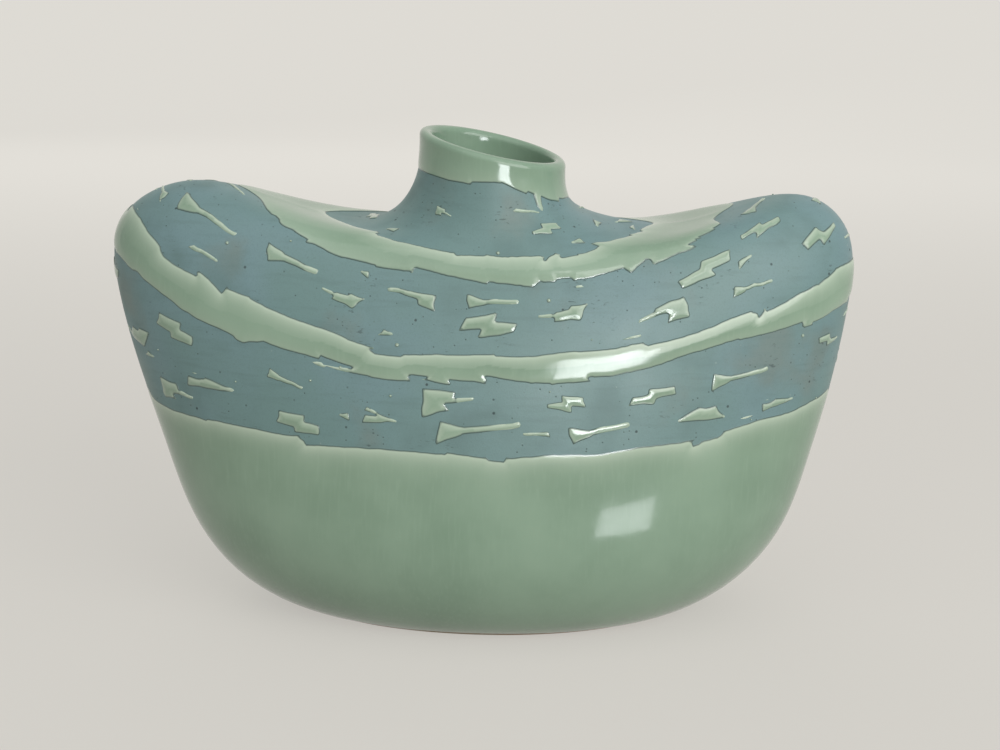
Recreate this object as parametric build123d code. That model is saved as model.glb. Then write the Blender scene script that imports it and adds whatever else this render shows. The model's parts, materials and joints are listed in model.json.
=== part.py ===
from build123d import *
from collections import namedtuple
from numpy import interp
from scipy.interpolate import CubicSpline
import math
import os

# Pillow vase: two pressed clay halves luted along the sides, a base slab, a neck collar and their coats.
# Millimetres, +Z up, front towards -Y, origin on the table under the middle of the overall width.

# Body
body_width = 280.0
body_depth = 120.0
shoulder_height = 166.5
wall = 5.0
base_thickness = 7.0

# Neck and its slanted lip, which is thinner than the wall
neck_diameter = 54.0
neck_length = 23.6
lip_fall = 11.0
lip_dip = 3.0
lip_wall = 3.2

# Luting coils pressed into the inner half of the wall
coil_depth = 2.5
coil_width = 9.0

# Coats, each a hair off the clay
slip_thickness = 0.5
glaze_thickness = 0.8
liner_thickness = 0.6
coat_gap = 0.02

# Room that a cutting block has to spare
overrun = 12.0

# Points on one ring, rings between two levels of the table, and rings round a quarter of the lip
ring_points = 24
rings_per_level = 5
lip_steps = 4

half_width = body_width / 2
half_depth = body_depth / 2
neck_radius = neck_diameter / 2

# One ring round the vase: half width and height at the sides, half depth and height at the middle,
# sideways shift of its centre, and how much of the lip's slant it takes
Ring = namedtuple("Ring", "width side depth middle shift slant")

# Levels of the body as shares of half width, shoulder height, half depth, shoulder height, half width
foot_share = (0.530, 0.620, 0.021)
slab_edge_share = (0.640, 0.765, 0.020)
body_level_shares = [
    (0.832, 0.216, 0.990, 0.203, 0.025),
    (0.904, 0.396, 0.982, 0.351, 0.021),
    (0.957, 0.568, 0.932, 0.484, 0.011),
    (1.000, 0.763, 0.873, 0.605, 0.000),
    (0.979, 0.925, 0.800, 0.714, 0.004),
    (0.836, 1.000, 0.727, 0.798, 0.029),
    (0.632, 0.967, 0.650, 0.866, 0.043),
]

# Levels of the neck: widths are shares of the neck radius, heights of the shoulder height
saddle_share = (2.220, 0.924, 1.260, 0.909, 0.034)
neck_foot_share = (1.300, 0.957, 1.110)
neck_shift_share = 0.015
waist_share = 1.050
waist_rise_share = 0.36
waist_slant_share = 0.5
lip_share = 0.985

# Rounding of the lip's edges as a share of its wall
lip_round_share = 0.45
lip_round = lip_round_share * lip_wall

# Edges of the coats as shares of the climb, level by level, from the foot to the lip
bare_foot_share = 0.036
belly_edge_share = 0.333
low_stripe_shares = (0.4375, 0.492)
high_stripe_shares = (0.625, 0.700)
lip_edge_share = 0.915


def round_ring(radius, height, slant=1):
    return Ring(radius, height, radius, height, neck_shift_share * half_width, slant)


def outer_levels():
    width, depth, shift = foot_share
    levels = [Ring(width * half_width, 0, depth * half_depth, 0, shift * half_width, 0)]
    width, depth, shift = slab_edge_share
    levels.append(Ring(
        width * half_width,
        base_thickness,
        depth * half_depth,
        base_thickness,
        shift * half_width,
        0,
    ))
    for width, side, depth, middle, shift in body_level_shares:
        levels.append(Ring(
            width * half_width,
            side * shoulder_height,
            depth * half_depth,
            middle * shoulder_height,
            shift * half_width,
            0,
        ))
    width, side, depth, middle, shift = saddle_share
    levels.append(Ring(
        width * neck_radius,
        side * shoulder_height,
        depth * neck_radius,
        middle * shoulder_height,
        shift * half_width,
        0,
    ))
    width, rise, depth = neck_foot_share
    foot_z = rise * shoulder_height
    levels.append(Ring(
        width * neck_radius,
        foot_z,
        depth * neck_radius,
        foot_z,
        neck_shift_share * half_width,
        0,
    ))
    waist_z = foot_z + waist_rise_share * neck_length
    levels.append(round_ring(waist_share * neck_radius, waist_z, waist_slant_share))
    levels.append(round_ring(lip_share * neck_radius, foot_z + neck_length - lip_round))
    return levels


def unit_normal(across, up):
    length = math.hypot(across, up)
    return up / length, -across / length


class Skin:
    """Smooth face through a list of levels; a ring can lie on it or off it, outwards if positive."""

    def __init__(self, levels):
        self.last = len(levels) - 1
        self.climbs = [0]
        for low, high in zip(levels, levels[1:]):
            side_step = math.hypot(high.width - low.width, high.side - low.side)
            front_step = math.hypot(high.depth - low.depth, high.middle - low.middle)
            self.climbs.append(self.climbs[-1] + (side_step + front_step) / 2)
        free_start = (2, Ring(0, 0, 0, 0, 0, 0))
        upright_end = (1, Ring(0, 1, 0, 1, 0, 0))
        self.curve = CubicSpline(self.climbs, levels, bc_type=(free_start, upright_end))

    def ring(self, level, offset=0):
        below = min(int(level), self.last - 1)
        climb = self.climbs[below] + (level - below) * (self.climbs[below + 1] - self.climbs[below])
        ring = Ring(*self.curve(climb))
        slope = Ring(*self.curve(climb, 1))
        side_normal = unit_normal(slope.width, slope.side)
        front_normal = unit_normal(slope.depth, slope.middle)
        return ring._replace(
            width=ring.width + offset * side_normal[0],
            side=ring.side + offset * side_normal[1],
            depth=ring.depth + offset * front_normal[0],
            middle=ring.middle + offset * front_normal[1],
        )

    def level_at(self, climb):
        return float(interp(climb, self.climbs, range(self.last + 1)))

    def rings(self, start, end, offset=0):
        count = max(2, math.ceil(abs(end - start) * rings_per_level))
        return [self.ring(start + (end - start) * step / count, offset) for step in range(count + 1)]


def inner_levels(outer):
    """Levels of the inside, one wall in from the outside and thinner at the lip, with a flat ring at the floor."""
    floor = outer.ring(1)
    levels = [floor._replace(width=floor.width - wall, depth=floor.depth - wall)]
    for level in range(2, outer.last):
        levels.append(outer.ring(level, -wall))
    lip = outer.ring(outer.last)
    levels.append(lip._replace(width=lip.width - lip_wall, depth=lip.depth - lip_wall))
    return levels


def lip_rings(outside, coat=0):
    """Rings of one rounded edge of the lip, from the neck's face to the top of the lip."""
    bend = lip_round + coat
    lip = outer_skin.ring(outer_skin.last)
    centre = lip.width - lip_round if outside else lip.width - lip_wall + lip_round
    sign = 1 if outside else -1
    rings = []
    for step in range(lip_steps + 1):
        turn = math.pi / 2 * step / lip_steps
        rings.append(round_ring(centre + sign * bend * math.cos(turn), lip.side + bend * math.sin(turn)))
    return rings


def ring_wire(ring):
    """Closed curve of one ring; its ends meet at the middle of the back."""
    points = []
    for step in range(ring_points):
        turn = math.pi / 2 + 2 * math.pi * step / ring_points
        x = ring.width * math.cos(turn)
        y = ring.depth * math.sin(turn)
        z = ring.middle + (ring.side - ring.middle) * math.cos(turn) ** 2
        z += ring.slant * (lip_dip * y - lip_fall * x) / neck_diameter
        points.append(Vector(ring.shift + x, y, z))
    knots = [step / ring_points for step in range(ring_points + 1)]
    return Wire([Edge.make_spline(points, periodic=True, parameters=knots)])


def sleeve(rings):
    """Open tube through rings."""
    return Shell.make_loft([ring_wire(ring) for ring in rings]).faces()


def rim(first, second):
    """Narrow face between two rings."""
    return Shell.make_loft([ring_wire(first), ring_wire(second)], ruled=True).faces()


def disc(ring):
    return [Face(ring_wire(ring))]


def solid(*face_groups):
    faces = []
    for group in face_groups:
        faces.extend(group)
    return Solid(Shell(faces))


def coat(skin, start, end, near, far):
    """Layer on a skin between two levels and two distances from it."""
    inside = skin.rings(start, end, near)
    outside = skin.rings(start, end, far)
    return solid(sleeve(inside), sleeve(outside), rim(inside[0], outside[0]), rim(inside[-1], outside[-1]))


def block(x_low, x_high, y_low, y_high):
    top = outer_skin.ring(outer_skin.last).side + lip_fall + overrun
    size = (x_high - x_low, y_high - y_low, top + overrun)
    middle = ((x_low + x_high) / 2, (y_low + y_high) / 2, (top - overrun) / 2)
    return Pos(*middle) * Box(*size)


outer_skin = Skin(outer_levels())
inner_skin = Skin(inner_levels(outer_skin))

# The neck collar is luted on at the neck's foot, two levels under the lip
neck_joint_level = outer_skin.last - 2
inner_joint_level = inner_skin.last - 2
inner_joint_climb = inner_skin.climbs[inner_joint_level]
base_coil_top = inner_skin.level_at(coil_width)
neck_coil_low = inner_skin.level_at(inner_joint_climb - coil_width / 2)
neck_coil_high = inner_skin.level_at(inner_joint_climb + coil_width / 2)
far_x = half_width + overrun
far_y = half_depth + overrun


def base_slab():
    rings = outer_skin.rings(0, 1)
    return solid(sleeve(rings), disc(rings[0]), disc(rings[-1]))


def base_coil_back():
    """Rings of the groove behind the base coil, from the slab upwards."""
    rings = inner_skin.rings(0, base_coil_top, coil_depth)
    rings[0] = rings[0]._replace(side=base_thickness, middle=base_thickness)
    return rings


def base_coil():
    back = base_coil_back()
    face = inner_skin.rings(0, base_coil_top)
    return solid(sleeve(back), sleeve(face), rim(back[0], face[0]), rim(back[-1], face[-1]))


def neck_coil():
    return coat(inner_skin, neck_coil_low, neck_coil_high, 0, coil_depth)


def body_ring():
    """Both clay halves as one ring, before they are parted, with room for the base and neck coils."""
    outside = outer_skin.rings(1, neck_joint_level)
    low = base_coil_back()
    inside = inner_skin.rings(base_coil_top, neck_coil_low)
    high = inner_skin.rings(neck_coil_low, inner_joint_level, coil_depth)
    return solid(
        sleeve(outside),
        rim(outside[0], low[0]),
        sleeve(low),
        rim(low[-1], inside[0]),
        sleeve(inside),
        rim(inside[-1], high[0]),
        sleeve(high),
        rim(high[-1], outside[-1]),
    )


def seam_room(x_low, x_high):
    """Groove across one side seam, between the base and neck coils."""
    layer = coat(inner_skin, base_coil_top, neck_coil_low, -coil_depth, coil_depth)
    return layer & block(x_low, x_high, -coil_width / 2, coil_width / 2)


def neck_collar():
    outside = outer_skin.rings(neck_joint_level, outer_skin.last)
    outer_round = lip_rings(True)
    inner_round = lip_rings(False)
    inside = inner_skin.rings(neck_coil_high, inner_skin.last)
    coil_back = inner_skin.rings(inner_joint_level, neck_coil_high, coil_depth)
    return solid(
        sleeve(outside),
        sleeve(outer_round),
        rim(outer_round[-1], inner_round[-1]),
        sleeve(inner_round),
        sleeve(inside),
        rim(inside[0], coil_back[-1]),
        sleeve(coil_back),
        rim(coil_back[0], outside[0]),
    )


def lip_glaze():
    start = lip_edge_share * outer_skin.last
    clay = outer_skin.rings(start, outer_skin.last, coat_gap)
    face = outer_skin.rings(start, outer_skin.last, glaze_thickness)
    clay_rounds = [lip_rings(True, coat_gap), lip_rings(False, coat_gap)]
    face_rounds = [lip_rings(True, glaze_thickness), lip_rings(False, glaze_thickness)]
    return solid(
        sleeve(clay),
        sleeve(face),
        *[sleeve(rings) for rings in clay_rounds + face_rounds],
        rim(clay_rounds[0][-1], clay_rounds[1][-1]),
        rim(face_rounds[0][-1], face_rounds[1][-1]),
        rim(clay[0], face[0]),
        rim(clay_rounds[1][0], face_rounds[1][0]),
    )


def inner_glaze():
    """Liner from the lip's inner edge down to the floor and across it."""
    clay = inner_skin.rings(0, inner_skin.last, -coat_gap)
    face = inner_skin.rings(0, inner_skin.last, -liner_thickness)
    clay_floor = base_thickness + coat_gap
    face_floor = base_thickness + liner_thickness
    clay[0] = clay[0]._replace(side=clay_floor, middle=clay_floor)
    face[0] = face[0]._replace(side=face_floor, middle=face_floor)
    return solid(sleeve(clay), sleeve(face), disc(clay[0]), disc(face[0]), rim(clay[-1], face[-1]))


def outer_coats():
    """Coats side by side up the outside: glaze, slip, glaze stripe, slip, glaze stripe, slip."""
    edges = [bare_foot_share, belly_edge_share, *low_stripe_shares, *high_stripe_shares, lip_edge_share]
    names = ["lower_glaze", "lower_slip", "low_glaze_stripe", "middle_slip", "high_glaze_stripe", "neck_slip"]
    coats = {}
    for name, low, high in zip(names, edges, edges[1:]):
        thickness = slip_thickness if "slip" in name else glaze_thickness
        coats[name] = coat(
            outer_skin,
            low * outer_skin.last,
            high * outer_skin.last,
            coat_gap,
            thickness,
        )
    return coats


def build():
    pieces = {
        "base_slab": base_slab(),
        "base_coil": base_coil(),
        "neck_coil": neck_coil(),
        "neck_collar": neck_collar(),
    }
    body = body_ring()
    left_room = seam_room(-far_x, 0)
    right_room = seam_room(0, far_x)
    pieces["left_seam_coil"] = body & left_room
    pieces["right_seam_coil"] = body & right_room
    halves = body - [left_room, right_room]
    pieces["front_wall"] = halves & block(-far_x, far_x, -far_y, 0)
    pieces["back_wall"] = halves & block(-far_x, far_x, 0, far_y)
    pieces.update(outer_coats())
    pieces["lip_glaze"] = lip_glaze()
    pieces["inner_glaze"] = inner_glaze()
    return pieces


os.makedirs("parts", exist_ok=True)
for name, piece in build().items():
    export_step(piece, f"parts/{name}.step")
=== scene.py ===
import json
import math

import bpy
import numpy as np
from mathutils import Matrix, Vector, kdtree

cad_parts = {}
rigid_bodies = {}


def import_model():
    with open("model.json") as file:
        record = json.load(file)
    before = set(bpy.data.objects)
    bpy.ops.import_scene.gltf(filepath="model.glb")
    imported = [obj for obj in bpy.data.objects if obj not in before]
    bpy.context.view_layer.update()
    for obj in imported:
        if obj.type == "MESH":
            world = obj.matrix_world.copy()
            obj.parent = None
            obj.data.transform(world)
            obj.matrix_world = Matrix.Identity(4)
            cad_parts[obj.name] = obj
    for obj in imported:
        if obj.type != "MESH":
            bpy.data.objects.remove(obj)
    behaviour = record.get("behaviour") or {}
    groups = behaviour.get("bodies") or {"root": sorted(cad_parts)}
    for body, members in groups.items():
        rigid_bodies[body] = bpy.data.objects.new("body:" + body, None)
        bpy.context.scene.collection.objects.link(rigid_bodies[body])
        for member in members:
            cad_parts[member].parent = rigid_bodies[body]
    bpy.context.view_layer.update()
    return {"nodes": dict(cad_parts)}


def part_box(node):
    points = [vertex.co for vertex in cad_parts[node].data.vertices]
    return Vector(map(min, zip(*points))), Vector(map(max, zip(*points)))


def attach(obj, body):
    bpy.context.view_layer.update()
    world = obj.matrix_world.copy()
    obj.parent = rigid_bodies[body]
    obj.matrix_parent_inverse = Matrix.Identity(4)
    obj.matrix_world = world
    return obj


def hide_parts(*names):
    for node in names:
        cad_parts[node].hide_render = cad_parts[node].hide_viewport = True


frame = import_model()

mm = 0.001
sharpAngle = math.radians(48)  # edges that bend more than this stay crisp

# Form of the clay
form = {
    "slabEdge": (0.640, 0.765),     # slab's edge as shares of half width and half depth
    "neckFoot": 1.300,              # neck's foot as a share of the neck's radius
    "shoulderHeight": 166.5 * mm,
    "neckLength": 23.6 * mm,
    "lipFall": 11 * mm,             # how far the lip drops across the neck, to the right
    "lipDip": 3 * mm,               # and towards the front
    "waist": 1.050,                 # neck over its foot and at the lip, as shares of its radius
    "lip": 0.985,
    "lipWall": 3.2 * mm,
    "lipRound": 1.44 * mm,
    "wall": 5 * mm,
    "seamProud": 0.12 * mm,         # the luted side seams show as faint ridges
    "seamWide": 2.6 * mm,
    "unevenness": 0.22 * mm,        # hand pressed, so never quite true
}
slabLow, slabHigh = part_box("base_slab")
collarLow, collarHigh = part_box("neck_collar")
halfWidth = (slabHigh.x - slabLow.x) / 2 / form["slabEdge"][0]
halfDepth = (slabHigh.y - slabLow.y) / 2 / form["slabEdge"][1]
neckRadius = (collarHigh.x - collarLow.x) / 2 / form["neckFoot"]
floorTop = slabHigh.z


def ripple(seed, across, up, cells, step):  # smooth noise from -1 to 1, closed round the vase
    table = np.random.default_rng(seed).uniform(-1, 1, (256, cells))
    column = np.floor(across * cells).astype(int)
    row = np.floor(up / step).astype(int)
    partAcross = across * cells - column
    partUp = up / step - row
    partAcross = partAcross ** 2 * (3 - 2 * partAcross)
    partUp = partUp ** 2 * (3 - 2 * partUp)
    low = table[row % len(table), column % cells] * (1 - partAcross)
    low = low + table[row % len(table), (column + 1) % cells] * partAcross
    high = table[(row + 1) % len(table), column % cells] * (1 - partAcross)
    high = high + table[(row + 1) % len(table), (column + 1) % cells] * partAcross
    return low * (1 - partUp) + high * partUp


class Skin:  # smooth face through rings: width, side, depth, middle, shift, slant
    def __init__(self, levels):
        rows = np.array(levels, float)
        width, side, depth, middle = rows.T[:4]
        sideSteps = np.hypot(np.diff(width), np.diff(side))
        frontSteps = np.hypot(np.diff(depth), np.diff(middle))
        self.rows = rows
        self.last = len(rows) - 1
        self.climbs = np.append(0, np.cumsum((sideSteps + frontSteps) / 2))
        gaps = np.diff(self.climbs)
        slopes = np.diff(rows, axis=0) / gaps[:, None]
        upright = np.array([0, 1, 0, 1, 0, 0])
        system = np.eye(len(rows))
        wanted = np.zeros_like(rows)
        for k in range(1, self.last):
            system[k, k - 1:k + 2] = gaps[k - 1], 2 * (gaps[k - 1] + gaps[k]), gaps[k]
            wanted[k] = 6 * (slopes[k] - slopes[k - 1])
        system[-1, -2:] = gaps[-1], 2 * gaps[-1]
        wanted[-1] = 6 * (upright - slopes[-1])
        self.bends = np.linalg.solve(system, wanted)

    def ring(self, level):  # rings and their slopes at any array of levels
        below = np.clip(np.floor(level).astype(int), 0, self.last - 1)
        gap = (self.climbs[below + 1] - self.climbs[below])[..., None]
        b = np.asarray(level - below)[..., None]
        a = 1 - b
        bendBelow, bendAbove = self.bends[below], self.bends[below + 1]
        ring = a * self.rows[below] + b * self.rows[below + 1]
        ring = ring + ((a ** 3 - a) * bendBelow + (b ** 3 - b) * bendAbove) * gap ** 2 / 6
        slope = (self.rows[below + 1] - self.rows[below]) / gap
        slope = slope + ((1 - 3 * a ** 2) * bendBelow + (3 * b ** 2 - 1) * bendAbove) * gap / 6
        return ring, slope


def offRing(ring, slope, distance):  # a ring moved along its side and front normals
    moved = ring.copy()
    for across, upwards in ((0, 1), (2, 3)):
        length = np.hypot(slope[..., across], slope[..., upwards])
        moved[..., across] += distance * slope[..., upwards] / length
        moved[..., upwards] -= distance * slope[..., across] / length
    return moved


def outerLevels():
    height = form["shoulderHeight"]
    neckShift = 0.015 * halfWidth
    slabWide, slabDeep = form["slabEdge"]
    levels = [
        (0.530 * halfWidth, 0, 0.620 * halfDepth, 0, 0.021 * halfWidth, 0),
        (slabWide * halfWidth, floorTop, slabDeep * halfDepth, floorTop, 0.020 * halfWidth, 0),
    ]
    for width, side, depth, middle, shift in (
        (0.832, 0.216, 0.990, 0.203, 0.025),
        (0.904, 0.396, 0.982, 0.351, 0.021),
        (0.957, 0.568, 0.932, 0.484, 0.011),
        (1.000, 0.763, 0.873, 0.605, 0.000),
        (0.979, 0.925, 0.800, 0.714, 0.004),
        (0.836, 1.000, 0.727, 0.798, 0.029),
        (0.632, 0.967, 0.650, 0.866, 0.043),
    ):
        wide, deep = width * halfWidth, depth * halfDepth
        levels.append((wide, side * height, deep, middle * height, shift * halfWidth, 0))
    neckFoot = 0.957 * height
    waistRadius = form["waist"] * neckRadius
    lipRadius = form["lip"] * neckRadius
    waist = neckFoot + 0.36 * form["neckLength"]
    lip = neckFoot + form["neckLength"] - form["lipRound"]
    levels += [
        (2.220 * neckRadius, 0.924 * height, 1.260 * neckRadius, 0.909 * height, 0.034 * halfWidth, 0),
        (form["neckFoot"] * neckRadius, neckFoot, 1.110 * neckRadius, neckFoot, neckShift, 0),
        (waistRadius, waist, waistRadius, waist, neckShift, 0.5),
        (lipRadius, lip, lipRadius, lip, neckShift, 1),
    ]
    return levels


def innerLevels(outer):
    wallShift = np.array([form["wall"], 0, form["wall"], 0, 0, 0])
    floor = outer.rows[1] - wallShift
    between = outer.ring(np.arange(2, outer.last))
    lip = outer.rows[-1] - wallShift * form["lipWall"] / form["wall"]
    return [floor, *offRing(*between, -form["wall"]), lip]


outerSkin = Skin(outerLevels())
innerSkin = Skin(innerLevels(outerSkin))


def ringSpots(rings, turns):
    width, side, depth, middle, shift, slant = np.moveaxis(rings, -1, 0)
    x = width * np.cos(turns)
    y = depth * np.sin(turns)
    z = middle + (side - middle) * np.cos(turns) ** 2
    z = z + slant * (form["lipDip"] * y - form["lipFall"] * x) / (2 * neckRadius)
    return np.stack([shift + x, y, z], axis=-1)


def evenTurns(level, count):  # turns that part one ring into even lengths, from the back
    fine = math.pi / 2 + np.linspace(0, 2 * math.pi, 4097)
    spots = ringSpots(outerSkin.ring(np.full(len(fine), level))[0], fine)
    lengths = np.append(0, np.cumsum(np.linalg.norm(np.diff(spots, axis=0), axis=1)))
    return np.interp(np.arange(count) / count * lengths[-1], lengths, fine)


def faceGrid(rings, turns, levels):  # points, normals and distances on a stack of rings
    spots = ringSpots(rings, turns)
    around = np.roll(spots, -1, axis=1) - np.roll(spots, 1, axis=1)
    normals = np.cross(around, np.gradient(spots, axis=0))
    normals /= np.linalg.norm(normals, axis=2, keepdims=True)
    onBody = np.clip((levels - 1) / 2, 0, 1) * np.clip((10 - levels) / 2, 0, 1)
    proud = form["seamProud"] * np.exp(-(spots[..., 1] / form["seamWide"]) ** 2) * onBody
    share = turns / (2 * math.pi) + 0 * levels
    proud = proud + form["unevenness"] * ripple(3, share, levels, 14, 1.4) * onBody
    spots = spots + normals * proud[..., None]
    ups = np.append(0, np.cumsum(np.linalg.norm(np.diff(spots, axis=0), axis=2).mean(axis=1)))
    across = np.arange(len(turns)) / len(turns)
    return {
        "spots": spots,
        "normals": normals,
        "along": around / np.linalg.norm(around, axis=2, keepdims=True),
        "up": ups[:, None] + 0 * levels,
        "across": across + 0 * levels,
        "levels": levels,
        "turns": turns,
        "closed": True,
    }


def stackGrid(rings, marks, turns):  # level rings, each with one mark all the way round
    return faceGrid(rings[:, None, :] + 0 * turns[:, None], turns, marks[:, None] + 0 * turns)


def outsideGrid(low, high, rowHeights, turns):  # grid between two lines round the outside
    levels = low + (high - low) * np.asarray(rowHeights)[:, None]
    return faceGrid(outerSkin.ring(levels)[0], turns, levels)


leanReach = 0.35  # radians from the sides over which a line leans


def swoop(turns, middle, left, right, lean=0, arch=0):  # level of a line from side to side over the middle
    sideShare = np.cos(turns) ** 2
    side = (left + right) / 2 + (right - left) / 2 * np.cos(turns)
    back = np.arcsin(np.sin(turns))  # a leaning line crosses the sides on a slant
    level = middle + (side - middle) * sideShare - lean * back * np.exp(-(back / leanReach) ** 2)
    return level + 4 * arch * sideShare * (1 - sideShare)  # an arched one is fuller between


print("form: half width %.1f mm, half depth %.1f mm" % (halfWidth / mm, halfDepth / mm))


# Films of glaze with rounded, torn edges
bead = {
    "steps": (0, 0.1 * mm, 0.28 * mm, 0.55 * mm, 0.95 * mm, 1.5 * mm),   # cuts beside the edge
    "width": 4.2 * mm,          # the glaze swells from its edge over this far
    "proud": 0.55 * mm,         # to this height over the slip
    "paleReach": 3.0 * mm,      # thin glaze looks pale near its upper edge
    "stout": 1.1 * mm,          # glaze narrower than twice this loses its dark edge line and painted edge shade
}


def refined(values, times, closed):  # the same grid with more rows and columns, straight between
    if closed:
        values = np.concatenate([values, values[:, :1]], axis=1)
    for axis in (0, 1):
        values = np.swapaxes(values, 0, axis)
        rows = np.linspace(0, len(values) - 1, (len(values) - 1) * times + 1)
        low = np.minimum(rows.astype(int), len(values) - 2)
        part = (rows - low).reshape(-1, *[1] * (values.ndim - 1))
        values = np.swapaxes(values[low] * (1 - part) + values[low + 1] * part, 0, axis)
    return values


def edgePoints(grid, field):  # points where the field crosses zero, and their climb
    closed = grid["closed"]
    fine = refined(field, 3, closed)
    places = refined(np.concatenate([grid["spots"], grid["up"][..., None]], axis=2), 3, closed)
    found = []
    for axis in (0, 1):
        f = np.swapaxes(fine, 0, axis)
        p = np.swapaxes(places, 0, axis)
        cut = (f[:-1] > 0) != (f[1:] > 0)
        part = (f[:-1] / np.where(cut, f[:-1] - f[1:], 1))[..., None]
        found.append((p[:-1] * (1 - part) + p[1:] * part)[cut])
    return np.concatenate(found)


def nearbyMost(values):  # the most that a value reaches within two cells
    for axis in (0, 1):
        for step in range(2):
            values = np.maximum(values, np.maximum(np.roll(values, 1, axis), np.roll(values, -1, axis)))
    return values


def nearTree(points):  # finds the nearest of these points
    tree = kdtree.KDTree(len(points))
    for k, point in enumerate(points):
        tree.insert(point, k)
    tree.balance()
    return tree


def film(grid, field):  # cuts a grid along the field's edge and rounds the edge
    shape = field.shape
    spots = grid["spots"].reshape(-1, 3)
    up = grid["up"].reshape(-1)
    edge = edgePoints(grid, field)
    tree = nearTree(edge[:, :3])
    nearest = [tree.find(spot) for spot in spots]
    reach = np.array([near[2] for near in nearest])
    rise = edge[[near[1] for near in nearest], 3] - up
    inside = np.where(field.reshape(-1) > 0, reach, -reach)
    pale = np.clip(0.5 + 0.5 * rise / np.maximum(reach, 1e-6), 0, 1)
    stout = nearbyMost(inside.reshape(shape)).reshape(-1)
    normals = grid["normals"].reshape(-1, 3)
    rows = np.concatenate([spots, normals, inside[:, None], pale[:, None], stout[:, None]], axis=1)
    index = np.arange(spots.shape[0]).reshape(shape)
    right = np.roll(index, -1, axis=1) if grid["closed"] else index[:, 1:]
    left = index if grid["closed"] else index[:, :-1]
    cells = np.stack([left[:-1], right[:-1], right[1:], left[1:]], axis=2).reshape(-1, 4)
    nearEdge = inside[cells].min(axis=1) < bead["steps"][-1]
    shown = inside[cells].max(axis=1) > 0
    faces = [tuple(cell) for cell in cells[shown & ~nearEdge].tolist()]
    table = [tuple(row) for row in rows.tolist()]
    cuts = {}

    def cutAt(a, b, height):  # the point on a side where the distance is height
        key = (min(a, b), max(a, b), height)
        if key not in cuts:
            low, high = table[key[0]], table[key[1]]
            part = (height - low[6]) / (high[6] - low[6])
            cuts[key] = len(table)
            mixed = [p + (q - p) * part for p, q in zip(low, high)]
            table.append((*mixed[:6], height, *mixed[7:]))
        return cuts[key]

    def split(face, height):  # parts of a face below and above one distance
        below, above = [], []
        for a, b in zip(face, face[1:] + face[:1]):
            if table[a][6] >= height:
                above.append(a)
            if table[a][6] <= height:
                below.append(a)
            if (table[a][6] - height) * (table[b][6] - height) < 0:
                middle = cutAt(a, b, height)
                above.append(middle)
                below.append(middle)
        return below, above

    for cell in cells[shown & nearEdge].tolist():
        rest = cell
        for k, height in enumerate(bead["steps"]):
            if len(rest) < 3:
                break
            below, rest = split(rest, height)
            if k > 0 and len(below) > 2:
                faces.append(tuple(below))
        if len(rest) > 2:
            faces.append(tuple(rest))
    used = sorted({k for face in faces for k in face})
    renumbered = {k: n for n, k in enumerate(used)}
    faces = [tuple(renumbered[k] for k in face) for face in faces]
    rows = np.array([table[k] for k in used])
    return rows, faces


def beadHeight(inside):  # height over the slip, by distance from the edge
    share = np.clip(inside / bead["width"], 0, 1)
    return bead["proud"] * np.sqrt(1 - (1 - share) ** 2)


def closedShell(top, bottom, faces):  # a sheet's top and bottom, joined round every open side
    count = len(top)
    sides = {}
    for face in faces:
        for a, b in zip(face, face[1:] + face[:1]):
            sides[(a, b)] = True
    rim = [(b, a, a + count, b + count) for a, b in sides if (b, a) not in sides]
    under = [tuple(k + count for k in reversed(face)) for face in faces]
    return np.concatenate([top, bottom]), faces + under + rim


def linked(name, data):  # an object in the scene that shows this data
    piece = bpy.data.objects.new(name, data)
    bpy.context.scene.collection.objects.link(piece)
    return piece


def plainObject(name, points, faces, values=None, material=None):
    mesh = bpy.data.meshes.new(name)
    mesh.from_pydata(points.tolist(), [], faces)
    mesh.update()
    for key, value in (values or {}).items():
        kind = "FLOAT_VECTOR" if value.ndim == 2 else "FLOAT"
        attribute = mesh.attributes.new(key, kind, "POINT")
        attribute.data.foreach_set("vector" if value.ndim == 2 else "value", value.astype(np.float32).ravel())
    mesh.shade_smooth()
    mesh.set_sharp_from_angle(angle=sharpAngle)
    if material:
        mesh.materials.append(material)
    return linked(name, mesh)


def filmValues(rows, paleReach):  # attributes that the glaze finish reads: edge in mm, paleness
    inside = rows[:, 6]
    pale = np.exp(-np.clip(inside, 0, None) / paleReach) * (0.30 + 0.70 * rows[:, 7])
    thin = np.clip((bead["stout"] - rows[:, 8]) / bead["stout"], 0, 1)  # thin tails have no dark edge line or painted edge shade
    return {"edge": np.tile(inside / mm + 1.6 * thin, 2), "pale": np.tile(pale, 2)}


def glazePiece(name, grid, field, seat, sink, swell=1):
    rows, faces = film(grid, field)
    seat = seat(rows) if callable(seat) else seat
    top = rows[:, :3] + rows[:, 3:6] * (seat + swell * beadHeight(rows[:, 6]))[:, None]
    bottom = rows[:, :3] + rows[:, 3:6] * sink
    points, faces = closedShell(top, bottom, faces)
    piece = plainObject(name, points, faces, filmValues(rows, bead["paleReach"]), celadon)
    print("%s: %d faces" % (name, len(faces)))
    return piece


def stepped(seed, across, runs):  # sloping runs of uneven length with sudden jogs between
    rng = np.random.default_rng(seed)
    cuts = np.sort(rng.uniform(0, 1, runs))
    starts, ends = rng.uniform(-1, 1, (2, runs))
    run = np.searchsorted(cuts, across % 1) % runs
    length = (cuts[run] - cuts[run - 1]) % 1
    part = (across - cuts[run - 1]) % 1 / length
    return starts[run] + (ends[run] - starts[run]) * part


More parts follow.
